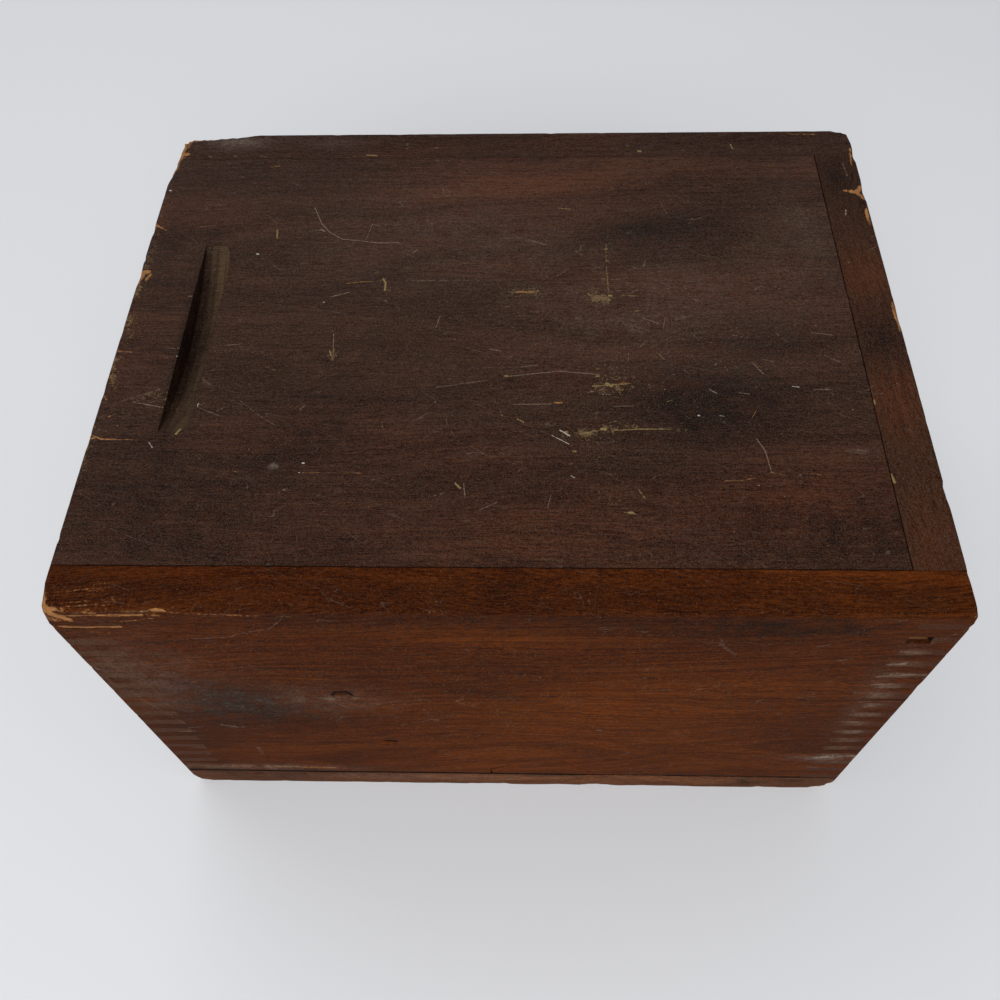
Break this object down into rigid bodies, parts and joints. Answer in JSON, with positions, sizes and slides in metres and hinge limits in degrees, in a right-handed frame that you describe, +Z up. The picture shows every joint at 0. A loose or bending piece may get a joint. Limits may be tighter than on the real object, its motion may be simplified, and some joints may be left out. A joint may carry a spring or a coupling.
{
  "type": "candle box",
  "caption": "Wooden candle box with finger-jointed corners, a nailed bottom and a flush lid with a scooped finger grip that slides out along grooves.",
  "frame": {"origin": "on the underside, at the middle of the box", "axes": "+X along the box towards its closed end, -X the way the lid slides out, -Y the front, +Z up"},
  "size_m": [0.26, 0.208, 0.159],
  "materials": {
    "wall_wood": "worn dark varnish",
    "end_wood": "worn dark varnish",
    "bottom_wood": "worn dark varnish, bare underneath",
    "lid_wood": "worn dark varnish",
    "nail_iron": "dull and rusty"
  },
  "bodies": {
    "box": {"front_board": "wall_wood", "back_board": "wall_wood", "closed_end_board": "end_wood", "lid_end_board": "end_wood", "bottom_board": "bottom_wood", "bottom_nails": "nail_iron"},
    "lid": {"sliding_lid": "lid_wood"}
  },
  "joints": [
    {"name": "lid_slide", "type": "slide", "parent": "box", "child": "lid", "axis": [-1, 0, 0], "range_m": [0, 0.26]}
  ]
}
